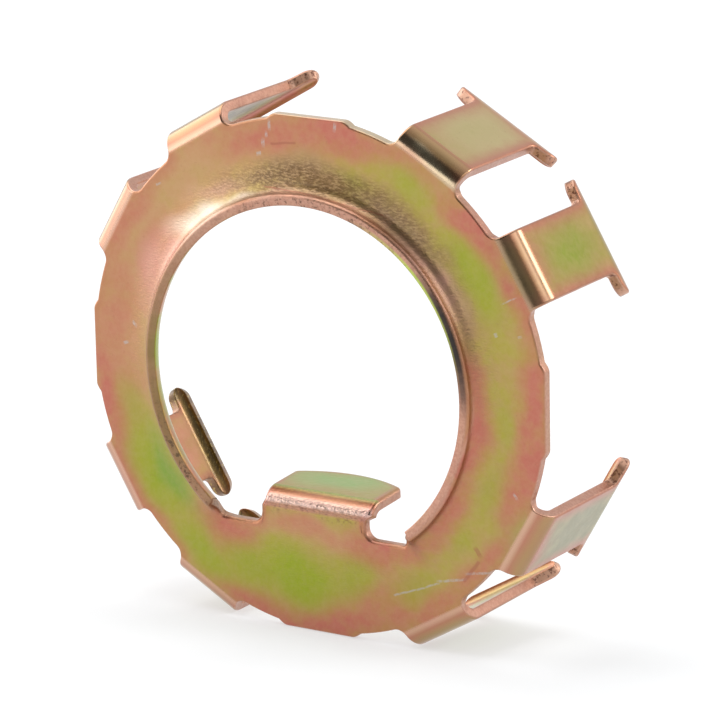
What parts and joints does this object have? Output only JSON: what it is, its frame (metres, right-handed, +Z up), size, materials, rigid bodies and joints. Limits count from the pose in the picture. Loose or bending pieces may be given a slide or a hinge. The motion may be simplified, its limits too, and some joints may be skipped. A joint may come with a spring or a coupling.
{
  "type": "spindle nut retainer",
  "caption": "Stamped spindle nut retainer: a yellow-chromated sheet steel ring with hooked legs that clip over a hexagon nut and a folded tab that locks on the spindle's flat.",
  "frame": {"origin": "middle of the bounding box at its lowest level, so the standing part touches the plane Z = 0", "axes": "it stands on its rim and leans 4.5 degrees forward, as it comes to rest; the spindle axis lies in the plane X = 0, 4.5 degrees off Y, the front face and its raised lip look towards -Y and the legs reach towards +Y; +Z is up, with the tab below the spindle hole; X runs across"},
  "size_m": [0.0444, 0.017, 0.0442],
  "materials": {
    "chromated_steel": "zinc plating with iridescent yellow chromate, gold with pink and green clouds"
  },
  "bodies": {
    "root": {"nut_retainer": "chromated_steel"}
  },
  "joints": []
}
